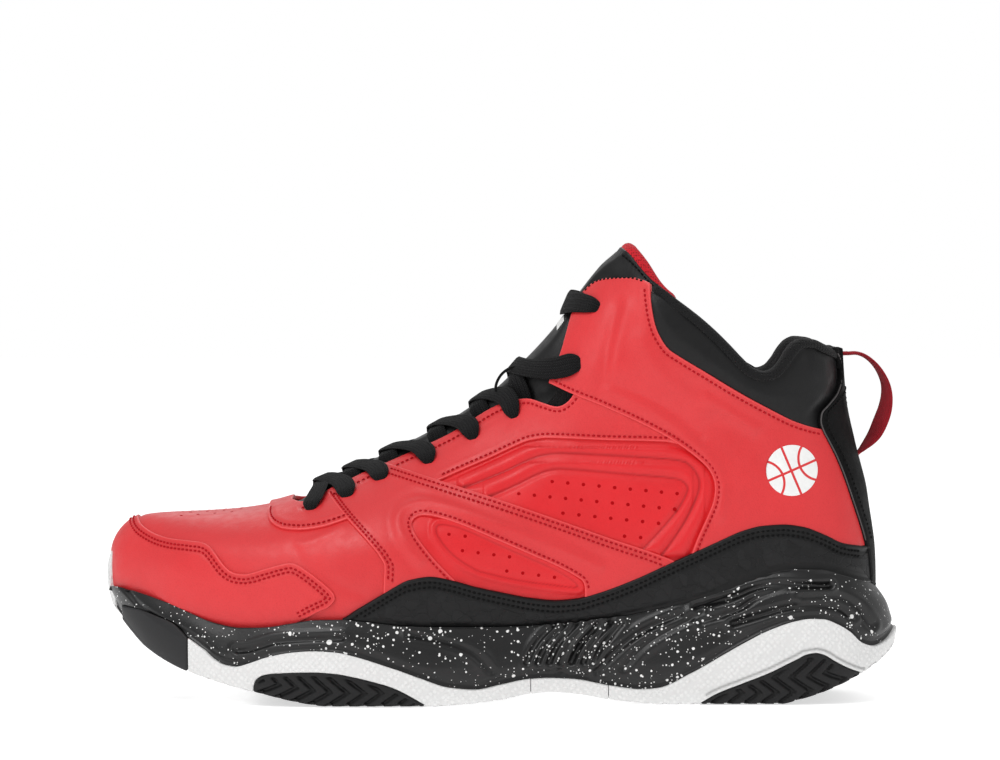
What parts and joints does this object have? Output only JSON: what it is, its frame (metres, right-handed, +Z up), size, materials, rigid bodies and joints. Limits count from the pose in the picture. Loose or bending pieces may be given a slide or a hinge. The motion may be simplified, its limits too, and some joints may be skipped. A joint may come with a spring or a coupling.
{
  "type": "basketball high top",
  "caption": "Mid-to-high laced sports shoe for the left foot, red leather upper with black overlays, sculpted two-colour sole, tilting padded tongue and heel pull loop.",
  "frame": {"origin": "middle of the shoe's footprint box, on the ground that the sole stands on", "axes": "+X from the toe towards the heel, +Z up, -Y to the outer (lateral) side of the left foot"},
  "size_m": [0.2988, 0.1077, 0.1705],
  "materials": {
    "red_leather": "fine-grained, semi-gloss red",
    "black_leather": "fine-grained, satin black",
    "black_webbing": "flat woven lace, matt black",
    "red_webbing": "ribbed woven tape, dark red",
    "red_mesh": "padded mesh lining, red",
    "black_mesh": "knitted lining, black",
    "speckled_foam": "satin black foam with fine white speckles",
    "white_rubber": "fine pebble texture, matt white",
    "black_rubber": "moulded tread, matt black",
    "foam": "open-cell padding",
    "board_fibre": "pressed fibre board",
    "stiff_plastic": "thermoplastic stiffener",
    "white_print": "moulded white badge",
    "lace_tip": "clear-coated lace tip, black"
  },
  "bodies": {
    "shoe": {"outsole_forefoot": "white_rubber", "outsole_bridge": "white_rubber", "outsole_heel": "white_rubber", "outsole_forefoot_pad": "black_rubber", "outsole_heel_pad": "black_rubber", "outsole_toe_pad": "black_rubber", "midsole": "speckled_foam", "shank_plate": "stiff_plastic", "insole_board": "board_fibre", "vamp": "red_leather", "toe_cap": "red_leather", "throat_overlay": "red_leather", "toe_puff": "stiff_plastic", "forequarter_lateral": "red_leather", "inset_lower_lateral": "red_leather", "eyestay_lateral": "red_leather", "inset_upper_lateral": "red_leather", "rear_quarter_lateral": "red_leather", "collar_panel_lateral": "black_leather", "foxing_lateral": "black_leather", "side_emblem_lateral": "white_print", "eyelet_stay_lateral": "stiff_plastic", "forequarter_medial": "red_leather", "inset_lower_medial": "red_leather", "eyestay_medial": "red_leather", "inset_upper_medial": "red_leather", "rear_quarter_medial": "red_leather", "collar_panel_medial": "black_leather", "foxing_medial": "black_leather", "side_emblem_medial": "white_print", "eyelet_stay_medial": "stiff_plastic", "heel_strip": "black_leather", "heel_counter": "stiff_plastic", "collar_foam": "foam", "collar_lining": "black_mesh", "vamp_lining": "black_mesh", "aglet_lateral": "lace_tip", "aglet_medial": "lace_tip", "lace": "black_webbing", "loop_end_top": "red_webbing", "loop_end_bottom": "red_webbing"},
    "tongue": {"tongue_face": "black_leather", "tongue_foam": "foam", "tongue_lining": "red_mesh", "tongue_label": "white_print"},
    "sockliner": {"sockliner": "black_mesh"},
    "pull_loop": {"pull_loop": "red_webbing"}
  },
  "joints": [
    {"name": "tongue_tilt", "type": "hinge", "parent": "shoe", "child": "tongue", "pos_m": [-0.078, 0.0065, 0.07], "axis": [0, 1, 0], "range_deg": [0, 6]},
    {"name": "sockliner_lift", "type": "hinge", "parent": "shoe", "child": "sockliner", "pos_m": [-0.1425, 0.0105, 0.0415], "axis": [0, -1, 0], "range_deg": [0, 8]},
    {"name": "pull_loop_swing", "type": "hinge", "parent": "shoe", "child": "pull_loop", "pos_m": [0.1319, -0.001, 0.131], "axis": [-0.1427, 0, 0.9898], "range_deg": [-30, 30], "stiffness_Nm_per_rad": 0.003}
  ]
}
